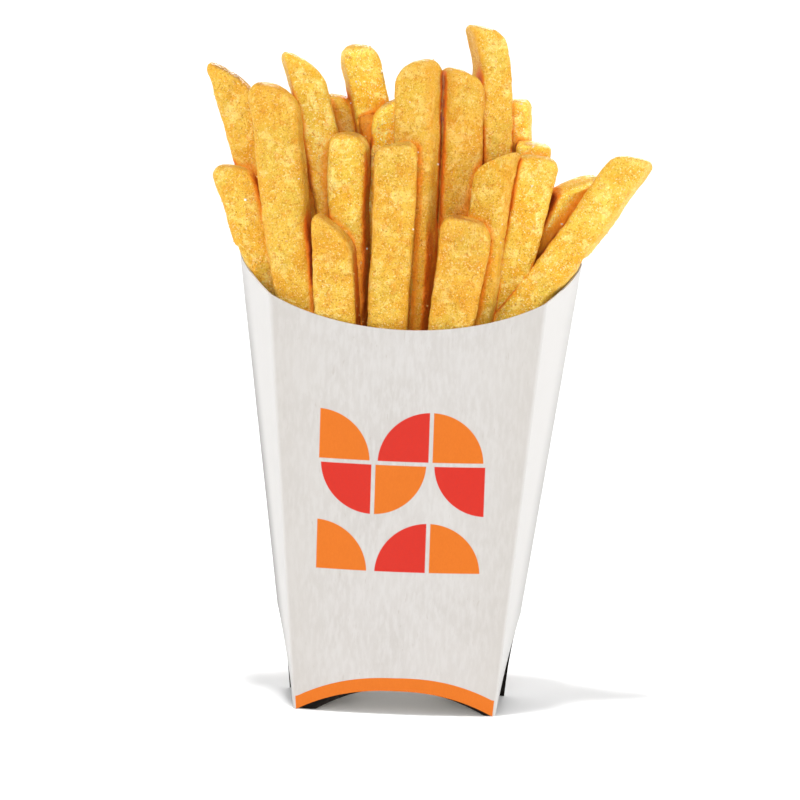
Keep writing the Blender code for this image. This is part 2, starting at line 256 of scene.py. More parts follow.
# One fry: its tip, its foot (at FOOT_HEIGHT), its width at both ends, its turn about its length
# (positive shows its right side), the slant of its tip (positive falls to the right), its bow, how
# far its end hooks to the left, and how round its tip is beside the others
Fry = namedtuple("Fry", "tip foot widths turn slant bow hook round", defaults=(0.0, 1.0))
Traits = namedtuple("Traits", "corner radius thin_radius crown twist hollow sway")
FRIES_IN_SIGHT = (
    Fry((-50.0, 4.0, 166.8), (-23.0, 4.0), (9.6, 9.3), 0, 45, 0.0),
    Fry((-37.0, -7.0, 163.3), (-25.4, -12.5), (13.0, 9.8), 10, 20, 0.0, 0.0, 1.3),
    Fry((-46.9, -2.0, 141.4), (-27.4, -3.0), (10.8, 9.2), 0, 22, 0.0),
    Fry((-30.9, 2.0, 170.2), (-14.0, 0.0), (10.2, 9.2), -10, 38, 2.0),
    Fry((-20.0, 11.0, 159.0), (-12.0, 11.0), (9.2, 9.2), 0, 18, 0.0),
    Fry((-15.7, 8.0, 171.9), (0.0, 7.0), (9.6, 9.0), -12, 6, 1.0, 0.0, 0.9),
    Fry((-11.5, 3.5, 154.3), (2.2, 4.0), (7.0, 7.0), 0, 6, 0.0, 0.0, 0.5),
    Fry((-16.8, -6.0, 150.5), (-14.8, -8.0), (10.2, 10.0), 8, 6, 0.0),
    Fry((-4.2, -14.0, 149.4), (-5.0, -15.3), (11.2, 10.2), 0, -9, 0.0),
    Fry((-5.5, 0.5, 160.0), (-6.5, 0.0), (10.4, 10.4), 0, -28, 0.0),
    Fry((-20.2, -15.0, 130.2), (-17.0, -15.3), (10.5, 11.2), 6, 40, 0.5, 0.0, 1.2),
    Fry((0.4, -5.0, 170.0), (0.0, -7.0), (10.4, 9.4), 26, -18, 1.3),
    Fry((11.8, -1.0, 167.6), (10.0, -3.0), (11.2, 10.4), -15, 16, 0.5),
    Fry((18.2, 6.0, 178.4), (24.0, 4.0), (8.9, 8.8), -18, 14, 0.9, 2.4, 0.8),
    Fry((21.9, -8.0, 147.0), (15.0, -10.0), (9.8, 9.4), 20, -32, 0.0, 0.0, 0.7),
    Fry((14.5, -15.0, 130.9), (9.2, -15.3), (13.6, 9.8), 0, 6, 0.0, 0.0, 1.2),
    Fry((25.8, 11.0, 158.6), (28.0, 11.0), (7.4, 7.6), 0, 0, 0.0, 0.0, 0.8),
    Fry((30.7, 5.0, 148.4), (27.0, 4.5), (9.0, 8.6), 0, 2, 0.0, 0.0, 0.4),
    Fry((32.4, -3.0, 146.0), (20.4, -5.0), (10.6, 7.2), -8, -6, 0.0, 0.0, 0.8),
    Fry((43.4, 4.0, 141.0), (16.0, 2.0), (9.6, 9.0), -22, -42, 0.0, 0.0, 0.6),
    Fry((58.0, -1.0, 146.8), (11.5, -9.5), (9.6, 9.0), 10, -29, 1.0, 0.0, 0.5),
)
# The fries in sight, by piece: the first, and the one after the last
SIGHT_PIECES = (("fries_left", 0, 8), ("fries_middle", 8, 15), ("fries_right", 15, 21))
# How brown (positive) or pale (negative) each fry in sight is: the pale ones painted light for fries in
# shade, the strongest brown painted shade, the rest their own colour
TONES_AND_PAINTED_LIGHT = (
    -0.2, 0.0, -0.2, -0.6, -0.3, -0.9, 0.9, -0.5, 0.0, -1.4, 0.0,
    0.0, 0.15, -0.2, -0.1, 0.1, -0.9, -0.8, -0.4, -1.8, -0.4,
)
# How browned the rim of each tip is
TIP_BROWNS = (
    0.8, 0.3, 0.4, 0.2, 0.4, 0.5, 0.4, 0.9, 0.7, 0.9, 0.5,
    0.4, 0.3, 0.4, 0.4, 1.0, 0.4, 0.1, 0.4, 0.4, 0.3,
)


def mix(low, high, share):
    """The value that lies the given share of the way from low to high."""
    return low + (high - low) * share


def seam_half_width(z):
    """Half the carton's width at the side seams."""
    if z < SEAM_END_HEIGHT:
        return mix(BASE_HALF_WIDTH + BASE_SIDE_BOW, SEAM_END_HALF_WIDTH, z / SEAM_END_HEIGHT)
    share = (z - SEAM_END_HEIGHT) / (TIP_HEIGHT - SEAM_END_HEIGHT)
    return mix(SEAM_END_HALF_WIDTH, TIP_HALF_WIDTH, share)


def crease_half_width(z, side):
    """Half the width between the creases; the back feet splay a little."""
    splay = 0.0
    if side > 0 and z < SEAM_END_HEIGHT:
        splay = BACK_FOOT_SPLAY * (1.0 - z / SEAM_END_HEIGHT)
    return mix(BASE_HALF_WIDTH, CREASE_TOP_HALF_WIDTH, z / TIP_HEIGHT) + splay


def crease_depth(z):
    """Distance of the creases from the axis plane."""
    return mix(CREASE_BASE_DEPTH, CREASE_TOP_DEPTH, z / TIP_HEIGHT)


def wall_depth(x, z, side):
    """Distance from the axis plane to the outer wall at a place across the carton."""
    crease_x = crease_half_width(z, side)
    if abs(x) <= crease_x:
        bulge = mix(FACE_BASE_BULGE, FACE_TOP_BULGE, z / TIP_HEIGHT)
        return crease_depth(z) + bulge * (1.0 - (x / crease_x) ** 2)
    seam_x = seam_half_width(z)
    return crease_depth(z) * max(0.0, (seam_x - abs(x)) / (seam_x - crease_x))


def rim_height(x, side):
    """Height of the rim: a deep scoop in front, a low arc at the back."""
    q = min(1.0, abs(x) / TIP_HALF_WIDTH)
    if side < 0:
        rise = TIP_HEIGHT - FRONT_RIM_HEIGHT
        return FRONT_RIM_HEIGHT + rise * (1.0 - (1.0 - q * q) ** FRONT_RIM_POWER)
    return mix(BACK_RIM_HEIGHT, TIP_HEIGHT, q * q)


def arch_height(x):
    """Height of the base panel's underside, with flat feet at both ends."""
    q = min(1.0, abs(x) / (BASE_HALF_WIDTH * FOOT_SHARE))
    return ARCH_HEIGHT * (1.0 - q ** ARCH_POWER)


carton_low, carton_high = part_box("carton")
AXIS_X = 0.5 * (carton_low[0] + carton_high[0])
AXIS_Y = carton_low[1] + wall_depth(0.0, FRONT_RIM_HEIGHT, -1) * MM
SHIFT = np.array((AXIS_X, AXIS_Y, carton_low[2]))


def world(places):
    """Turns millimetres from the carton's axis into metres in the frame."""
    return np.asarray(places, dtype=float) * MM + SHIFT


def add_attribute(data, name, values):
    """Stores one number for each vertex, for the material to read."""
    layer = data.attributes.new(name, "FLOAT", "POINT")
    layer.data.foreach_set("value", np.asarray(values, dtype=np.float32))


def add_object(name, data):
    """Makes an object of the given data and links it to the scene."""
    thing = bpy.data.objects.new(name, data)
    bpy.context.scene.collection.objects.link(thing)
    return thing


def mesh_object(name, verts, faces, sharp_angle):
    """Makes an object from points in millimetres and lists of corners."""
    data = bpy.data.meshes.new(name)
    data.from_pydata(world(verts).tolist(), [], faces)
    data.update()
    data.shade_smooth()
    if sharp_angle:
        data.set_sharp_from_angle(angle=math.radians(sharp_angle))
    return add_object(name, data)


def ring_faces(first, second, count):
    """Quads between two rings of vertices, given by the numbers of their first vertices."""
    return [
        (first + k, first + (k + 1) % count, second + (k + 1) % count, second + k)
        for k in range(count)
    ]


class Nodes:
    """A short way to build a material's node tree."""

    def __init__(self, name):
        self.material = bpy.data.materials.new(name)
        self.material.use_nodes = True
        self.tree = self.material.node_tree
        self.shader = self.tree.nodes["Principled BSDF"]

    def add(self, kind, **settings):
        """Adds a node and sets its properties."""
        node = self.tree.nodes.new("ShaderNode" + kind)
        for key, value in settings.items():
            setattr(node, key, value)
        return node

    def link(self, source, target):
        """Joins an output to an input, or sets the input to a plain value."""
        if isinstance(source, (int, float, tuple)):
            target.default_value = source
        else:
            self.tree.links.new(source, target)

    def feed(self, key, source):
        """Sets one of the shader's inputs."""
        self.link(source, self.shader.inputs[key])

    def attribute(self, name):
        """A number stored on the mesh."""
        return self.add("Attribute", attribute_name=name).outputs["Fac"]

    def coordinates(self):
        """The object's own coordinates, in metres."""
        return self.add("TexCoord").outputs["Object"]

    def math(self, operation, first, second=0.0, clamp=False):
        """A Math node on one value or two."""
        node = self.add("Math", operation=operation, use_clamp=clamp)
        for value, socket in zip((first, second), node.inputs):
            self.link(value, socket)
        return node.outputs[0]

    def times(self, first, second):
        """The product of two values."""
        return self.math("MULTIPLY", first, second)

    def ramp(self, value, low, high):
        """Maps a value from low..high smoothly to 0..1."""
        node = self.add("MapRange", interpolation_type="SMOOTHSTEP")
        for source, key in ((value, "Value"), (low, "From Min"), (high, "From Max")):
            self.link(source, node.inputs[key])
        return node.outputs["Result"]

    def blend(self, share, first, second, kind="MIX"):
        """Mixes two colours."""
        node = self.add("Mix", data_type="RGBA", blend_type=kind)
        self.link(share, node.inputs["Factor"])
        self.link(first, node.inputs[6])
        self.link(second, node.inputs[7])
        return node.outputs[2]

    def noise(self, scale, detail=2.0, roughness=0.5, stretch=(1.0, 1.0, 1.0), distortion=0.0):
        """A noise texture in the object's coordinates; scale is in features for each metre."""
        mapping = self.add("Mapping")
        self.link(self.coordinates(), mapping.inputs["Vector"])
        mapping.inputs["Scale"].default_value = stretch
        node = self.add("TexNoise")
        self.link(mapping.outputs[0], node.inputs["Vector"])
        values = {"Scale": scale, "Detail": detail, "Roughness": roughness, "Distortion": distortion}
        for key, value in values.items():
            self.link(value, node.inputs[key])
        return node.outputs["Fac"]

    def bumps(self, layers):
        """Chains bump nodes, each a height with its depth in metres, and feeds the shader."""
        normal = None
        for height, distance in layers:
            node = self.add("Bump")
            for key, value in (("Strength", 1.0), ("Distance", distance), ("Height", height)):
                self.link(value, node.inputs[key])
            if normal is not None:
                self.link(normal, node.inputs["Normal"])
            normal = node.outputs["Normal"]
        self.feed("Normal", normal)


# The board

def tile_print(nodes):
    """Shares of orange and of red in the square of quarter discs on the front."""
    half = 0.5 * TILE_COUNT
    across = nodes.math("DIVIDE", nodes.attribute("face_x"), TILE_PITCH)
    across = nodes.math("ADD", across, half)
    upward = nodes.math("SUBTRACT", nodes.attribute("height"), PRINT_MIDDLE_HEIGHT)
    upward = nodes.math("ADD", nodes.math("DIVIDE", upward, TILE_PITCH), half)
    column = nodes.math("FLOOR", across)
    row = nodes.math("FLOOR", upward)
    a = nodes.math("FRACT", across)
    b = nodes.math("FRACT", upward)
    odd = nodes.math("MODULO", nodes.math("ADD", nodes.math("ADD", column, row), TILE_SHIFT), 2.0)
    odd_row = nodes.math("MODULO", nodes.math("ADD", row, TILE_SHIFT), 2.0)
    flipped_a = nodes.math("ABSOLUTE", nodes.math("SUBTRACT", odd, a))
    flipped_b = nodes.math("ABSOLUTE", nodes.math("SUBTRACT", odd_row, b))
    squares = nodes.math("ADD", nodes.math("POWER", flipped_a, 2.0), nodes.math("POWER", flipped_b, 2.0))
    distance = nodes.math("SQRT", squares)
    disc = nodes.ramp(distance, TILE_DISC + TILE_SOFTNESS, TILE_DISC - TILE_SOFTNESS)
    nearest = nodes.math("MINIMUM", flipped_a, flipped_b)
    gap = nodes.ramp(nearest, TILE_MARGIN - TILE_SOFTNESS, TILE_MARGIN + TILE_SOFTNESS)
    disc = nodes.times(disc, gap)
    reach_a = nodes.math("ABSOLUTE", nodes.math("SUBTRACT", across, half))
    reach_b = nodes.math("ABSOLUTE", nodes.math("SUBTRACT", upward, half))
    inside = nodes.math("LESS_THAN", nodes.math("MAXIMUM", reach_a, reach_b), half)
    disc = nodes.times(disc, inside)
    disc = nodes.times(disc, nodes.attribute("front"))
    red = nodes.times(disc, odd)
    orange = nodes.times(disc, nodes.math("SUBTRACT", 1.0, odd))
    return orange, red


def board_material():
    """White coated board with a fibre grain, printed in orange and red, plain inside; painted shade by the
    creases and seams, painted light on the side strips.
    """
    nodes = Nodes("board")
    grain = nodes.noise(900.0, 3.0, 0.6, (1.0, 1.0, 0.28))
    cloud = nodes.noise(60.0, 3.0, 0.6)
    specks = nodes.noise(1500.0, 2.0, 0.7, (1.0, 1.0, 0.18), 0.4)
    base = nodes.blend(nodes.ramp(cloud, 0.3, 0.7), (0.462, 0.440, 0.418, 1.0), (0.490, 0.470, 0.450, 1.0))
    base = nodes.blend(nodes.ramp(grain, 0.35, 0.7), base, (0.520, 0.503, 0.486, 1.0))
    fleck = nodes.times(nodes.ramp(specks, 0.66, 0.74), 0.55)
    base = nodes.blend(fleck, base, (0.40, 0.36, 0.33, 1.0))
    # Painted shade: the face is made darker towards the creases
    painted_fold_shade = nodes.times(nodes.attribute("painted_fold_shade"), 0.5)
    base = nodes.blend(painted_fold_shade, base, (0.44, 0.414, 0.383, 1.0))
    # Painted light: the side strips are made lighter than the face
    base = nodes.blend(nodes.attribute("strip"), base, (0.548, 0.536, 0.523, 1.0))
    # Painted shade beside the seams
    base = nodes.blend(nodes.attribute("seam"), base, (0.21, 0.204, 0.197, 1.0))
    inside = nodes.attribute("inside")
    base = nodes.blend(nodes.times(inside, 0.75), base, (0.50, 0.46, 0.40, 1.0))
    orange, red = tile_print(nodes)
    rise = nodes.attribute("rise")
    band = nodes.ramp(rise, BAND_HEIGHT + BAND_SOFTNESS, BAND_HEIGHT - BAND_SOFTNESS)
    outside = nodes.math("SUBTRACT", 1.0, inside)
    orange = nodes.math("MAXIMUM", orange, nodes.times(band, outside))
    ink = nodes.ramp(nodes.noise(2600.0, 2.0, 0.6, (1.0, 1.0, 0.5)), 0.2, 0.8)
    orange_ink = nodes.blend(ink, (0.570, 0.128, 0.005, 1.0), ORANGE_PRINT)
    red_ink = nodes.blend(ink, (0.49, 0.018, 0.009, 1.0), RED_PRINT)
    base = nodes.blend(orange, base, orange_ink)
    base = nodes.blend(red, base, red_ink)
    nodes.feed("Base Color", base)
    rough = nodes.math("ADD", nodes.times(grain, 0.12), 0.42)
    nodes.feed("Roughness", rough)
    nodes.feed("Specular IOR Level", 0.2)
    nodes.bumps([(cloud, 0.00025), (grain, 0.00003), (specks, 0.00002)])
    return nodes.material


def shade_material():
    """Near-black painted shade for the board seen under the front arch and through the slits."""
    nodes = Nodes("board_painted_shade")
    fibre = nodes.ramp(nodes.noise(700.0), 0.3, 0.7)
    base = nodes.blend(fibre, (0.010, 0.008, 0.007, 1.0), (0.020, 0.017, 0.015, 1.0))
    nodes.feed("Base Color", base)
    nodes.feed("Roughness", 1.0)
    nodes.feed("Specular IOR Level", 0.0)
    return nodes.material


def half_columns():
    """The columns from the left seam to the right seam, as pairs of part and place along it."""
    strip = [("left", (k / STRIP_STEPS) ** STRIP_CROWDING) for k in range(STRIP_STEPS)]
    face = [("face", 2.0 * k / FACE_STEPS - 1.0) for k in range(FACE_STEPS + 1)]
    mirrored = [("right", along) for _, along in reversed(strip)]
    return strip + face + mirrored


def loop_columns():
    """All columns round the carton: the front from left to right, then the back."""
    half = half_columns()
    return [(c, -1) for c in half] + [(c, 1) for c in reversed(half[1:-1])]


def column_place(column, z, side):
    """Plan position of a column of the outer surface at one height."""
    part, along = column
    crease_x = crease_half_width(z, side)
    if part == "face":
        x = along * crease_x
        return x, side * wall_depth(x, z, side)
    x = mix(seam_half_width(z), crease_x, along)
    bow = STRIP_BOW * math.sin(math.pi * along) * z / TIP_HEIGHT
    return (-x - bow if part == "left" else x + bow), side * crease_depth(z) * along


def column_end(column, side, height_at):
    """Height at which a column meets a curved edge, found by a few repeats."""
    z = height_at(0.0)
    for _ in range(RIM_REPEATS):
        z = height_at(column_place(column, z, side)[0])
    return z


def inset_loop(places, distance):
    """Moves a ring of points inwards in plan by a distance, with mitred corners."""
    plan = places[:, :2]
    before = plan - np.roll(plan, 1, axis=0)
    after = np.roll(plan, -1, axis=0) - plan
    before /= np.linalg.norm(before, axis=1)[:, None]
    after /= np.linalg.norm(after, axis=1)[:, None]
    normal = np.stack((-before[:, 1] - after[:, 1], before[:, 0] + after[:, 0]), axis=1)
    normal /= np.linalg.norm(normal, axis=1)[:, None]
    mitre = np.maximum(LEAST_MITRE, -normal[:, 0] * before[:, 1] + normal[:, 1] * before[:, 0])
    moved = places.copy()
    moved[:, :2] += normal * (distance / mitre)[:, None]
    return moved


def wall_rings(lift, inset):
    """The rings of one surface of the wall, from the base to the rim."""
    columns = loop_columns()
    ends = []
    for column, side in columns:
        bottom = column_end(column, side, arch_height) + lift
        ends.append((bottom, column_end(column, side, lambda x, s=side: rim_height(x, s))))
    rings = []
    for row in range(WALL_ROWS + 1):
        ring = []
        for (column, side), (bottom, top) in zip(columns, ends):
            z = mix(bottom, top, row / WALL_ROWS)
            ring.append((*column_place(column, z, side), z))
        ring = np.array(ring)
        rings.append(inset_loop(ring, inset) if inset else ring)
    return rings


def across_faces(first, count, facing_down):
    """Strips that close a ring, from its front half to its back half."""
    faces = []
    for k in range(count // 2):
        corners = [k, (-k) % count, (-k - 1) % count, k + 1]
        face = [first + corner for corner in dict.fromkeys(corners)]
        faces.append(tuple(face if facing_down else reversed(face)))
    return faces


def slit_cutter(side):
    """A wedge that opens one side wall below the end of its seam."""
    spread = 1.0 + SLIT_BELOW / SEAM_END_HEIGHT
    front, back = -SLIT_FRONT_WIDTH * spread, SLIT_BACK_WIDTH * spread
    outline = ((front, -SLIT_BELOW), (back, -SLIT_BELOW), (0.0, SEAM_END_HEIGHT))
    verts = [(side * x, y, z) for x in (SLIT_START, SLIT_START + SLIT_REACH) for y, z in outline]
    faces = [(0, 1, 2), (5, 4, 3)] + [tuple(face) for face in ring_faces(0, 3, 3)]
    cutter = mesh_object("slit_cutter", verts, faces, 0.0)
    mesh = bmesh.new()
    mesh.from_mesh(cutter.data)
    bmesh.ops.recalc_face_normals(mesh, faces=mesh.faces)
    mesh.to_mesh(cutter.data)
    mesh.free()
    return cutter


def cut_by(thing, cutter):
    """Cuts an object by another, which is then removed."""
    modifier = thing.modifiers.new("cut", "BOOLEAN")
    modifier.operation = "DIFFERENCE"
    modifier.object = cutter
    modifier.solver = "EXACT"
    graph = bpy.context.evaluated_depsgraph_get()
    result = bpy.data.meshes.new_from_object(thing.evaluated_get(graph))
    thing.modifiers.remove(modifier)
    thing.data = result
    bpy.data.objects.remove(cutter)


def base_sag(x):
    """How far the base panel hangs below the front arch at a place across the carton."""
    q = min(1.0, abs(x) / (BASE_HALF_WIDTH * FOOT_SHARE))
    depth = BASE_SAG[0] if x < 0 else BASE_SAG[1]
    hang = depth * max(0.0, SAG_RATE * q - SAG_START) ** SAG_POWER
    return min(hang, SAG_LIMIT * arch_height(x))


def add_base_panel(thing, outline):
    """Adds the curved base panel, which hangs a little below the arches, to the board."""
    count = len(outline)
    top = inset_loop(outline, SAG_INSET)
    top[:, 2] = [arch_height(x) + PANEL_LAP for x in top[:, 0]]
    under = top.copy()
    under[:, 2] -= PANEL_LAP + np.array([base_sag(x) for x in top[:, 0]])
    faces = ring_faces(0, count, count) + across_faces(0, count, True) + across_faces(count, count, False)
    panel = mesh_object("panel", np.concatenate([under, top]), faces, 0.0)
    mesh = bmesh.new()
    mesh.from_mesh(thing.data)
    mesh.from_mesh(panel.data)
    mesh.to_mesh(thing.data)
    mesh.free()
    bpy.data.objects.remove(panel)


def plain_board():
    """The folded board as a closed shell, with the outline of its base."""
    outer = wall_rings(0.0, 0.0)
    inner = wall_rings(BOARD, BOARD)
    count = len(outer[0])
    lip = inset_loop(outer[0], PRINT_TURN_IN)
    lip[:, 2] = [arch_height(x) for x in lip[:, 0]]
    verts = np.concatenate(outer + inner + [lip])
    lip_start = len(verts) - count
    faces = []
    inner_start = len(outer) * count
    for row in range(WALL_ROWS):
        faces += ring_faces(row * count, (row + 1) * count, count)
        lower = inner_start + row * count
        faces += [tuple(reversed(face)) for face in ring_faces(lower, lower + count, count)]
    faces += ring_faces(WALL_ROWS * count, inner_start + WALL_ROWS * count, count)
    faces += ring_faces(lip_start, 0, count)
    faces += across_faces(lip_start, count, True)
    faces += across_faces(inner_start, count, False)
    return mesh_object("carton_board", verts, faces, SHARP_ANGLE), outer[0]


def mark_board(data, places):
    """Stores what the board's material reads; gives the points that get the painted shade and those on a
    face.
    """
    x, y, z = places.T
    walls = np.array([wall_depth(a, c, -1 if b < 0 else 1) for a, b, c in places])
    creases = np.array([crease_half_width(c, -1 if b < 0 else 1) for _, b, c in places])
    on_face = np.abs(x) < creases - FACE_TOLERANCE
    arch = np.array([arch_height(a) for a in x])
    inset_y = walls - np.abs(y)
    seam = np.array([seam_half_width(c) for c in z])
    depths = np.array([crease_depth(c) for c in z])
    inset_x = seam - np.abs(x) - (seam - creases) * np.abs(y) / depths
    is_inside = np.where(on_face, inset_y, inset_x) > 0.5 * BOARD
    is_low = z < arch + BOARD + FACE_TOLERANCE
    is_base = is_low & (np.minimum(inset_y, inset_x) > UNDERSIDE_INSET)
    rise = z - arch - BAND_TILT * np.where(y < 0, np.maximum(0.0, x), 0.0)
    # Painted shade beside the seams: darker at the left than at the right, fading out near the tips
    painted_seam_shade = np.clip(1.0 - (seam - np.abs(x)) / SEAM_SHADE_REACH, 0.0, 1.0) ** SEAM_SHADE_POWER
    painted_seam_shade *= np.where(x < 0, *SEAM_SHADES)
    painted_seam_shade *= np.sqrt(np.clip((TIP_HEIGHT - z) / SEAM_SHADE_FADE, 0.0, 1.0))
    add_attribute(data, "rise", np.where(is_base | ~on_face, NO_BAND_RISE, rise))
    add_attribute(data, "seam", np.where(is_inside | (y > 0), 0.0, painted_seam_shade))
    # Marks the side strips, which the material paints lighter: painted light
    add_attribute(data, "strip", ~on_face)
    add_attribute(data, "height", z)
    add_attribute(data, "face_x", x)
    add_attribute(data, "front", (y < 0) & on_face)
    # Painted shade on the face, growing towards the creases
    add_attribute(data, "painted_fold_shade", np.where(on_face, np.abs(x / creases) ** FOLD_SHADE_POWER, 0.0))
    add_attribute(data, "inside", is_inside)
    # Painted shade: the strips' insides in the slits, the back strips' cut edges and the base panel's front
    # step under the arch
    back_edge = SLIT_BACK_WIDTH * (1.0 - z / SEAM_END_HEIGHT)
    below_seam = z < SEAM_END_HEIGHT + SEAM_TOLERANCE
    on_cut = below_seam & (y > -SEAM_TOLERANCE) & (np.abs(y - back_edge) < CUT_TOLERANCE)
    in_slit = is_inside & below_seam & ~on_face
    under_front = (inset_y > ARCH_SHADE_INSET * SAG_INSET) & (z < arch + 2.0 * PANEL_LAP) & (y < 0)
    return in_slit | under_front | on_cut, on_face


def splayed(places, on_face):
    """The board's points, with the back strips standing out beside the slits."""
    x, y, z = places.T
    depths = np.array([crease_depth(c) for c in z])
    splay = SLIT_SPLAY * np.sin(np.pi * np.minimum(1.0, np.abs(y) / depths))
    splay *= np.clip(1.0 - z / SEAM_END_HEIGHT, 0.0, None)
    moved = places.copy()
    moved[:, 0] += np.where((y > 0) & ~on_face, np.sign(x) * splay, 0.0)
    return moved


def board_piece():
    """The folded board as a thin shell with soft creases, cut edges and slits at the sides."""
    thing, base_outline = plain_board()
    for side in (-1, 1):
        cut_by(thing, slit_cutter(side))
    add_base_panel(thing, base_outline)
    data = thing.data
    places = np.zeros(len(data.vertices) * 3)
    data.vertices.foreach_get("co", places)
    places = (places.reshape(-1, 3) - SHIFT) / MM
    shaded, on_face = mark_board(data, places)
    data.vertices.foreach_set("co", world(splayed(places, on_face)).ravel())
    data.materials.clear()
    data.materials.append(board_material())
    data.materials.append(shade_material())
    # Faces whose points are all in the painted shade get the near-black material
    for face in data.polygons:
        face.material_index = int(all(shaded[k] for k in face.vertices))
    data.shade_smooth()
    data.set_sharp_from_angle(angle=math.radians(SHARP_ANGLE))
    return thing


# The fries

def back_fries(draw):
    """The fries behind those in sight: rows of uneven height, a distance off the back wall."""
    fries = []
    for off_wall, count, reach in BACK_ROWS:
        for k in range(count):
            x = mix(-reach, reach, k / (count - 1)) + draw.uniform(-BACK_PLAY, BACK_PLAY)
            edge = (x / TIP_HALF_WIDTH) ** 2
            height = BACK_TIP_TOP - BACK_TIP_FALL * edge - draw.uniform(0.0, BACK_TIP_SPREAD)
            width = draw.uniform(*BACK_WIDTHS)
            outer_x = abs(x) * BACK_ROOM_SPREAD + 0.5 * width
            room = wall_depth(outer_x, FRONT_RIM_HEIGHT, 1) - BOARD - BACK_GAP - 0.5 * FRY_DEPTH
            y = room - off_wall
            tip_x = x * BACK_TIP_FAN + draw.uniform(-BACK_TIP_PLAY, BACK_TIP_PLAY)
            tip = (tip_x, y + draw.uniform(*BACK_TIP_LEANS), height)
            slant = draw.uniform(-BACK_SLANT, BACK_SLANT)
            turn = draw.uniform(-BACK_TURN, BACK_TURN)
            foot = (x * BACK_FOOT_FAN, y - BACK_FOOT_LEAN)
            fries.append(Fry(tip, foot, (width, width * BACK_TAPER), turn, slant, 0.0))
    return fries


def inside_carton(place):
    """Moves a point that is below the rim and too near the wall back inside the board."""
    x, y, z = place
    side = 1 if y > 0 else -1
    share = min(1.0, (rim_height(x, side) + RIM_CLEARANCE - z) / RIM_CLEARANCE)
    if share <= 0.0:
        return place
    low_z = min(z, TIP_HEIGHT)
    reach = seam_half_width(low_z) - BOARD - WALL_GAP
    held_x = max(-reach, min(reach, x))
    room = max(LEAST_ROOM, wall_depth(held_x, low_z, side) - BOARD - WALL_GAP)
    held_y = max(-room, min(room, y))
    return Vector((mix(x, held_x, share), mix(y, held_y, share), z))


def tip_rows(top, radius):
    """Distance, inset and place on the cut edge for each row from the middle of the tip outwards."""
    rows = []
    for k in range(TIP_FLAT_ROWS):
        rows.append((top, 1.0 - (k + 0.25) / TIP_FLAT_ROWS, 0.0))
    for k in range(1, TIP_ROUND_ROWS):
        angle = 0.5 * math.pi * k / TIP_ROUND_ROWS
        rows.append((top - radius * (1.0 - math.cos(angle)), 0.0, math.sin(angle)))
    return rows


def fry_traits(fry, seed):
    """What is drawn for one fry."""
    draw = random.Random(seed)
    return Traits(
        draw.uniform(*CORNER_POWERS),
        fry.round * draw.uniform(*TIP_RADII),
        draw.uniform(*THIN_RADII),
        draw.uniform(*CROWNS),
        math.radians(draw.uniform(-MOST_TWIST, MOST_TWIST)),
        draw.uniform(0.0, MOST_HOLLOW),
        Vector([draw.uniform(-SWAY_RANGE, SWAY_RANGE) for _ in range(3)]),
    )


def fry_axes(fry):
    """The foot of a fry, its length, and its ways up and across."""
    tip = Vector(fry.tip)
    foot = Vector((fry.foot[0], fry.foot[1], FOOT_HEIGHT))
    length = (tip - foot).length
    up = (tip - foot).normalized()
    turn = math.radians(fry.turn)
    level = Vector((math.cos(turn), -math.sin(turn), 0.0))
    return foot, length, up, (level - up * level.dot(up)).normalized()


def section_frame(fry, traits, axes, distance):
    """The middle of one cross-section, a distance from the foot, and its ways across and away."""
    foot, length, up, level = axes
    share = distance / length
    drift = noise.noise_vector(Vector((distance * DRIFT_FINENESS, 0.0, 0.0)) + traits.sway)
    spin = Matrix.Rotation(traits.twist * (1.0 - share) + DRIFT_SPIN * drift.z, 3, up)
    across = spin @ level
    away = up.cross(across)
    hooked = max(0.0, (distance - length) / HOOK_REACH + 1.0)
    sideways = fry.bow * 4.0 * share * (1.0 - share) - fry.hook * hooked ** 2
    centre = foot + up * distance + across * sideways
    centre += across * drift.x * DRIFT_ACROSS + away * drift.y * DRIFT_AWAY
    return centre, across, away


def section_size(fry, traits, share, row):
    """Half the width and half the depth of one cross-section."""
    distance, flat_share, turned = row
    inset_w, inset_d = traits.radius * (1.0 - turned), traits.thin_radius * (1.0 - turned)
    wide_noise = noise.noise(Vector((distance * 0.07, 7.0, 0.0)) + traits.sway)
    deep_noise = noise.noise(Vector((distance * 0.06, 3.0, 9.0)) + traits.sway)
    swell_w, swell_d = 1.0 + SWELL_WIDTH * wide_noise, 1.0 + SWELL_DEPTH * deep_noise
    half_w = (0.5 * mix(fry.widths[1], fry.widths[0], share) * swell_w - inset_w) * (1.0 - flat_share)
    half_d = (0.5 * FRY_DEPTH * swell_d - inset_d) * (1.0 - flat_share)
    return half_w, half_d


def lump_at(place, edge, sway):
    """How far the crust stands out at a place; more at the edges."""
    lump = 0.0
    for height, at_edge, fineness in FRY_LUMPS:
        lump += (height + at_edge * edge ** 3) * noise.noise(place * fineness + sway)
    return lump


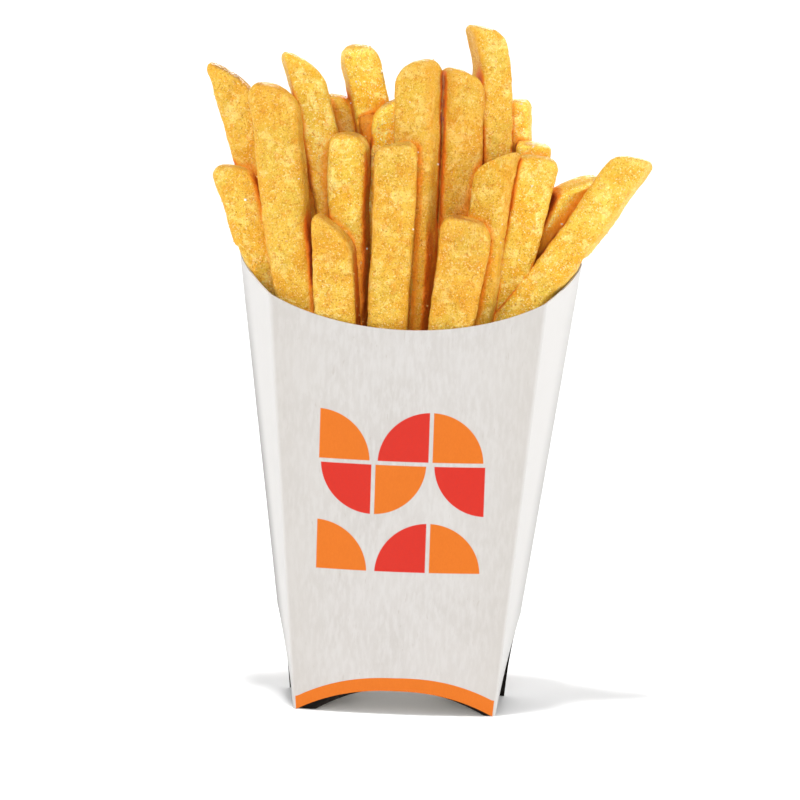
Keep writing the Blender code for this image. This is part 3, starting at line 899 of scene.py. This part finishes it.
def fry_grid(fry, seed, mesh_size):
    """Points of one fry, as rows from its cut tip down by columns round it, with its tints."""
    around, along = mesh_size
    traits = fry_traits(fry, seed)
    axes = fry_axes(fry)
    _, length, up, _ = axes
    slope = math.tan(math.radians(fry.slant))
    top = length - abs(slope) * SLANT_SHARE * fry.widths[0]
    rows = tip_rows(top, traits.radius)
    body = top - traits.radius
    rows += [(body * (1.0 - k / along), 0.0, 1.0) for k in range(along + 1)]
    places, edges, rims, flanks = [], [], [], []
    for distance, flat_share, turned in rows:
        centre, across, away = section_frame(fry, traits, axes, distance)
        half_w, half_d = section_size(fry, traits, distance / length, (distance, flat_share, turned))
        for j in range(around):
            angle = 2.0 * math.pi * (j + 0.5) / around
            c, s = math.cos(angle), math.sin(angle)
            reach = (abs(c) ** traits.corner + abs(s) ** traits.corner) ** (-1.0 / traits.corner)
            edge = min(abs(c), abs(s)) / max(abs(c), abs(s))
            reach *= 1.0 - traits.hollow * (1.0 - edge) * turned
            x, y = half_w * c * reach, half_d * s * reach
            drop = slope * x + traits.crown * (x * x + y * y)
            place = centre + across * x + away * y - up * drop
            out = (across * c + away * s) * turned + up * (1.0 - turned)
            places.append(inside_carton(place + out * lump_at(place, edge, traits.sway)))
            edges.append(edge ** 4 * turned)
            flanks.append(min(1.0, max(0.0, 0.5 + 3.0 * (abs(c) - abs(s)))) * turned)
            rims.append(min(1.0, max(0.0, 1.1 - 1.6 * turned - 0.6 * flat_share)))
    shape = (len(rows), around)
    tints = {
        "edge": np.reshape(edges, shape),
        "rim": np.reshape(rims, shape),
        "flank": np.reshape(flanks, shape),
    }
    below = np.array([top - distance for distance, _, _ in rows])
    tints["tip"] = np.repeat(np.clip(1.0 - below / TIP_REACH, 0.0, 1.0)[:, None], around, axis=1)
    return np.reshape([tuple(place) for place in places], (len(rows), around, 3)), tints


def grid_faces(rows, around, start):
    """Faces of one fry's grid, closed at both ends."""
    faces = []
    for row in range(rows - 1):
        faces += ring_faces(start + (row + 1) * around, start + row * around, around)
    last = start + (rows - 1) * around
    faces.append(tuple(range(start, start + around)))
    faces.append(tuple(reversed(range(last, last + around))))
    return faces


def sphere_ways(count):
    """Evenly spread directions."""
    golden = math.pi * (3.0 - math.sqrt(5.0))
    ways = []
    for k in range(count):
        z = 1.0 - 2.0 * (k + 0.5) / count
        flat = math.sqrt(1.0 - z * z)
        ways.append(Vector((flat * math.cos(golden * k), flat * math.sin(golden * k), z)))
    return ways


def nook_shares(grid, tree, ways):
    """How hidden each point of a fry's grid is by what stands near it, from 0 to 1."""
    rows, around, _ = grid.shape
    row_picks = sorted(set(range(0, rows, NOOK_STEP)) | {rows - 1})
    column_picks = list(range(0, around, NOOK_STEP))
    found = np.zeros((len(row_picks), len(column_picks)))
    for a, row in enumerate(row_picks):
        above, below = grid[max(0, row - 1)], grid[min(rows - 1, row + 1)]
        for b, column in enumerate(column_picks):
            place = Vector(world(grid[row, column]))
            beside = Vector(grid[row, (column + 1) % around] - grid[row, column - 1])
            normal = beside.cross(Vector(above[column] - below[column])).normalized()
            start = place + normal * NOOK_START
            total, hidden = 0.0, 0.0
            for way in ways:
                weight = way.dot(normal)
                if weight < NOOK_GRAZING:
                    continue
                total += weight
                distance = tree.ray_cast(start, way, NOOK_REACH)[3]
                if distance is not None:
                    hidden += weight * (1.0 - NOOK_NEARNESS * distance / NOOK_REACH)
            found[a, b] = hidden / total if total else 0.0
    wrapped = np.concatenate([found, found[:, :1]], axis=1)
    stops = column_picks + [around]
    wide = np.array([np.interp(range(around), stops, line) for line in wrapped])
    return np.array([np.interp(range(rows), row_picks, line) for line in wide.T]).T


def fries_pieces(layout, tones_and_painted_light, browns):
    """The fries, in pieces of several each, tinted by edge, flank and tip, by how brown or pale each one is
    (partly painted light), and by painted shade in their nooks.
    """
    bars = []
    for k, fry in enumerate(layout):
        size = FRY_MESH if k < len(FRIES_IN_SIGHT) else BACK_MESH
        bars.append(fry_grid(fry, FRY_SEED + k, size))
    verts, faces = [], []
    for grid, _ in bars:
        faces += grid_faces(grid.shape[0], grid.shape[1], len(verts))
        verts += world(grid.reshape(-1, 3)).tolist()
    tree = BVHTree.FromPolygons(verts, faces)
    ways = sphere_ways(NOOK_WAYS)
    pieces = []
    for name, first, last in (*SIGHT_PIECES, ("fries_back", len(FRIES_IN_SIGHT), len(bars))):
        points, faces = [], []
        tints = {"edge": [], "rim": [], "flank": [], "tip": [], "tone_and_painted_light": [], "painted_nook_shade": []}
        for (grid, own), tone_and_painted_light, brown in zip(bars[first:last], tones_and_painted_light[first:last], browns[first:last]):
            faces += grid_faces(grid.shape[0], grid.shape[1], len(points))
            points += grid.reshape(-1, 3).tolist()
            own["rim"] = own["rim"] * brown
            own = dict(own, tone_and_painted_light=np.full(grid.shape[:2], tone_and_painted_light), painted_nook_shade=nook_shares(grid, tree, ways))
            for key, values in own.items():
                tints[key] += values.ravel().tolist()
        piece = mesh_object(name, points, faces, 0.0)
        for key, values in tints.items():
            add_attribute(piece.data, key, values)
        pieces.append(piece)
    return pieces, bars


def scatter_spots(bars, count, draw):
    """Random places on the fries in sight, each with its outward way, most of them on the front."""
    spots = []
    while len(spots) < count:
        grid, _ = bars[draw.randrange(len(FRIES_IN_SIGHT))]
        rows, around, _ = grid.shape
        row = draw.randrange(TIP_FLAT_ROWS, rows - BURIED_ROWS)
        column = draw.randrange(around)
        beside = Vector(grid[row, (column + 1) % around] - grid[row, column - 1])
        normal = beside.cross(Vector(grid[row - 1, column] - grid[row + 1, column])).normalized()
        chance = SPOT_CHANCE - SPOT_FRONT_BIAS * normal.y
        if grid[row, column][2] > FRONT_RIM_HEIGHT and draw.random() < chance:
            spots.append((Vector(grid[row, column]), normal))
    return spots


def grain_piece(name, spots, sizes, lift, draw):
    """Small uneven crystals or crumbs that sit on the fries."""
    corners = [(x, y, z) for z in (-1, 1) for x, y in ((-1, -1), (1, -1), (1, 1), (-1, 1))]
    sides = [(0, 3, 2, 1), (4, 5, 6, 7)] + ring_faces(0, 4, 4)
    verts, faces = [], []
    for place, normal in spots:
        size = 0.5 * draw.uniform(*sizes)
        spin = Vector([draw.uniform(-1.0, 1.0) for _ in range(3)]).to_track_quat("Z", "Y")
        stretch = Vector([draw.uniform(*GRAIN_STRETCH) for _ in range(3)])
        start = len(verts)
        for corner in corners:
            uneven = [c * s * draw.uniform(*GRAIN_UNEVENNESS) for c, s in zip(corner, stretch)]
            verts.append(place + normal * size * lift + spin @ Vector(uneven) * size)
        faces += [tuple(start + k for k in side) for side in sides]
    return mesh_object(name, [tuple(v) for v in verts], faces, GRAIN_SHARP_ANGLE)


def fry_material():
    """Golden crust: pale and deeper patches, a fine grain, browned edges and spots, with painted light and
    shade that make some whole fries paler and some browner, and painted shade in the nooks.
    """
    nodes = Nodes("crust")
    patches = nodes.noise(150.0, 3.0, 0.55)
    clouds = nodes.noise(480.0, 3.0, 0.6)
    grain = nodes.noise(2300.0, 2.0, 0.75)
    fine = nodes.noise(5200.0, 1.0, 0.5)
    spots = nodes.noise(170.0, 2.0, 0.5, distortion=0.3)
    olive = nodes.noise(95.0, 2.0, 0.5, distortion=0.6)
    cream = nodes.noise(230.0, 3.0, 0.6, distortion=0.8)
    flecks = nodes.noise(1250.0, 3.0, 0.7)
    painted_nook_shade = nodes.attribute("painted_nook_shade")
    flank = nodes.attribute("flank")

    def layer(base, amount, share, colour):
        return nodes.blend(nodes.times(amount, share), base, (*colour, 1.0))

    base = nodes.blend(nodes.ramp(patches, 0.38, 0.62), (0.78, 0.380, 0.014, 1.0), (0.84, 0.510, 0.050, 1.0))
    noises = {"olive": olive, "cream": cream, "clouds": clouds, "flecks": flecks, "grain": grain}
    for key, low, high, share, colour in CRUST_PATCHES:
        base = layer(base, nodes.ramp(noises[key], low, high), share, colour)
    base = layer(base, flank, 0.25, (0.82, 0.32, 0.008))
    # Painted light and shade for whole fries: negative values make a fry paler, positive ones browner
    tone_and_painted_light = nodes.attribute("tone_and_painted_light")
    brown = nodes.math("MULTIPLY", tone_and_painted_light, 0.8, clamp=True)
    pale = nodes.math("MAXIMUM", nodes.times(tone_and_painted_light, -1.0), 0.0)
    tip = nodes.times(nodes.attribute("tip"), nodes.ramp(clouds, 0.38, 0.62))
    base = layer(base, tip, 0.3, (0.64, 0.28, 0.012))
    edge = nodes.times(nodes.attribute("edge"), nodes.ramp(clouds, 0.42, 0.6))
    base = layer(base, edge, 0.55, (0.74, 0.32, 0.012))
    # Painted light: the pale fries are lightened for the light that their neighbours and the lamps' angle
    # take from them
    base = nodes.blend(pale, base, (1.36, 1.60, 2.30, 1.0), "MULTIPLY")
    rim = nodes.times(nodes.attribute("rim"), nodes.ramp(patches, 0.25, 0.55))
    base = layer(base, rim, 0.9, (0.40, 0.13, 0.010))
    # Browner fries: partly their own colour, and the strongest brown painted shade
    base = nodes.blend(brown, base, (0.72, 0.21, 0.005, 1.0))
    base = layer(base, nodes.ramp(spots, 0.70, 0.78), 0.5, (0.46, 0.15, 0.010))
    # Painted shade in the nooks: orange, red-orange on the flanks, deep red-brown where most hidden
    base = layer(base, nodes.ramp(painted_nook_shade, 0.22, 0.60), 0.9, (1.0, 0.33, 0.010))
    crevice = nodes.times(flank, nodes.ramp(painted_nook_shade, 0.22, 0.52))
    base = layer(base, crevice, 0.85, (0.80, 0.175, 0.006))
    base = layer(base, nodes.ramp(painted_nook_shade, 0.58, 0.86), 0.85, (0.44, 0.070, 0.004))
    nodes.feed("Base Color", base)
    rough = nodes.math("ADD", nodes.times(clouds, 0.3), 0.33)
    nodes.feed("Roughness", rough)
    nodes.feed("Specular IOR Level", 0.3)
    nodes.feed("Subsurface Weight", 0.15)
    nodes.feed("Subsurface Radius", (1.0, 0.45, 0.12))
    nodes.feed("Subsurface Scale", 0.002)
    nodes.bumps([(clouds, 0.0012), (grain, 0.0006), (fine, 0.00015)])
    return nodes.material


def salt_material():
    """Pale salt grains with slightly uneven brightness."""
    nodes = Nodes("salt")
    cloud = nodes.noise(2000.0, 2.0, 0.5)
    tint = nodes.blend(nodes.ramp(cloud, 0.35, 0.65), (0.78, 0.66, 0.50, 1.0), (0.90, 0.82, 0.70, 1.0))
    nodes.feed("Base Color", tint)
    nodes.feed("Roughness", 0.25)
    nodes.feed("Subsurface Weight", 0.3)
    nodes.feed("Subsurface Scale", 0.0005)
    nodes.bumps([(cloud, 0.00008)])
    return nodes.material


def crumb_material():
    """Small fried bits, from pale gold to brown."""
    nodes = Nodes("crumbs")
    cloud = nodes.noise(700.0, 3.0, 0.7)
    base = nodes.blend(nodes.ramp(cloud, 0.35, 0.65), (0.62, 0.27, 0.03, 1.0), (0.98, 0.70, 0.26, 1.0))
    nodes.feed("Base Color", base)
    nodes.feed("Roughness", 0.5)
    nodes.bumps([(cloud, 0.0003)])
    return nodes.material


def core_piece(crust, dark):
    """The mass of fries below the rim, seen between those on top and through the slits; it is painted with
    deep brown shade, and its lowest band with near-black painted shade.
    """
    columns = loop_columns()[::CORE_STEP]
    rings = []
    for z in CORE_HEIGHTS:
        ring = np.array([(*column_place(column, z, side), z) for column, side in columns])
        rings.append(inset_loop(ring, BOARD + CORE_GAP))
    count = len(columns)
    verts = np.concatenate(rings)
    for vert in verts[-count:]:
        vert[2] += CORE_LUMP * noise.noise(Vector(vert) * CORE_LUMP_FINENESS)
    faces = []
    for row in range(len(rings) - 1):
        faces += ring_faces(row * count, (row + 1) * count, count)
    faces.append(tuple(reversed(range(count))))
    faces.append(tuple(range((len(rings) - 1) * count, len(rings) * count)))
    thing = mesh_object("fries_core", verts, faces, SHARP_ANGLE)
    for key in ("tip", "edge", "rim", "flank"):
        add_attribute(thing.data, key, np.zeros(len(verts)))
    # Painted shade: the core is marked as brown and fully hidden
    for key in ("tone_and_painted_light", "painted_nook_shade"):
        add_attribute(thing.data, key, np.ones(len(verts)))
    thing.data.materials.append(crust)
    thing.data.materials.append(dark)
    # Painted shade: the lowest band gets the near-black material
    for face in thing.data.polygons:
        face.material_index = int(min(face.vertices) < count)
    return thing


# The stage

def floor_piece():
    """A plain white floor that runs past the camera's view."""
    data = bpy.data.meshes.new("floor")
    ways = ((-1, -1), (1, -1), (1, 1), (-1, 1))
    corners = [(FLOOR_REACH * x, FLOOR_REACH * y, 0.0) for x, y in ways]
    data.from_pydata(corners, [], [(0, 1, 2, 3)])
    thing = add_object("floor", data)
    nodes = Nodes("floor")
    nodes.feed("Base Color", (0.92, 0.92, 0.92, 1.0))
    nodes.feed("Roughness", 0.9)
    nodes.feed("Specular IOR Level", 0.1)
    data.materials.append(nodes.material)


def area_light(name, place, power):
    """A soft rectangular light that looks at the carton."""
    data = bpy.data.lights.new(name, "AREA")
    data.shape = "RECTANGLE"
    data.size, data.size_y = SIDE_LIGHT_SIZE
    data.energy = power
    thing = add_object(name, data)
    thing.location = place
    way = Vector(SIDE_LIGHT_TARGET) - Vector(place)
    thing.rotation_euler = way.to_track_quat("-Z", "Y").to_euler()


def sun(name, azimuth, elevation, strength, angle):
    """A distant light, placed by compass and height in degrees; azimuth 0 is the front."""
    data = bpy.data.lights.new(name, "SUN")
    data.energy = strength
    data.angle = math.radians(angle)
    thing = add_object(name, data)
    a, e = math.radians(azimuth), math.radians(elevation)
    way = Vector((math.sin(a) * math.cos(e), -math.cos(a) * math.cos(e), math.sin(e)))
    thing.rotation_euler = way.to_track_quat("Z", "Y").to_euler()


def lights():
    """White surroundings, a high sun, a low one in front and behind, and a softbox at each side."""
    world_light = bpy.data.worlds.new("surroundings")
    world_light.use_nodes = True
    background = world_light.node_tree.nodes["Background"]
    background.inputs["Color"].default_value = (1.0, 1.0, 1.0, 1.0)
    background.inputs["Strength"].default_value = SURROUNDINGS
    bpy.context.scene.world = world_light
    for values in SUNS:
        sun(*values)
    for name, place, power in SIDE_LIGHTS:
        area_light(name, place, power)


def camera():
    """The photograph's viewpoint: a little above the mouth and to the right, slightly tilted."""
    data = bpy.data.cameras.new("camera")
    data.lens = CAMERA_LENS
    data.clip_end = CAMERA_RANGE
    thing = add_object("camera", data)
    flat = math.cos(CAMERA_ELEVATION)
    way = Vector((
        math.sin(CAMERA_AZIMUTH) * flat, -math.cos(CAMERA_AZIMUTH) * flat, math.sin(CAMERA_ELEVATION)
    ))
    aim = Vector(world(CAMERA_AIM))
    turn = (-way).to_track_quat("-Z", "Y").to_matrix().to_4x4()
    roll = Matrix.Rotation(CAMERA_ROLL, 4, "Z")
    thing.matrix_world = Matrix.Translation(aim + way * CAMERA_DISTANCE) @ turn @ roll
    bpy.context.scene.camera = thing


def dress():
    """Makes the pieces, hangs each on the root body, and hides the CAD parts that they take the place of."""
    # Unseeded, the vector noise starts from the clock
    noise.seed_set(NOISE_SEED)
    board = board_piece()
    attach(board, "root")
    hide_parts("carton")
    draw = random.Random(BACK_SEED)
    layout = list(FRIES_IN_SIGHT) + back_fries(draw)
    tones_and_painted_light = list(TONES_AND_PAINTED_LIGHT) + [draw.uniform(*BACK_TONES) for _ in layout[len(TONES_AND_PAINTED_LIGHT):]]
    browns = list(TIP_BROWNS) + [draw.uniform(*BACK_BROWNS) for _ in layout[len(TIP_BROWNS):]]
    pieces, bars = fries_pieces(layout, tones_and_painted_light, browns)
    crust = fry_material()
    for piece in pieces:
        piece.data.materials.append(crust)
    pieces.append(core_piece(crust, board.data.materials[1]))
    draw = random.Random(SALT_SEED)
    salt = grain_piece("salt", scatter_spots(bars, SALT_COUNT, draw), SALT_SIZES, SALT_LIFT, draw)
    salt.data.materials.append(salt_material())
    crumbs = grain_piece("crumbs", scatter_spots(bars, CRUMB_COUNT, draw), CRUMB_SIZES, 0.0, draw)
    crumbs.data.materials.append(crumb_material())
    for piece in pieces + [salt, crumbs]:
        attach(piece, "root")
        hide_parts("fries")


bpy.context.scene.view_settings.view_transform = "Standard"
camera()
floor_piece()
lights()
dress()
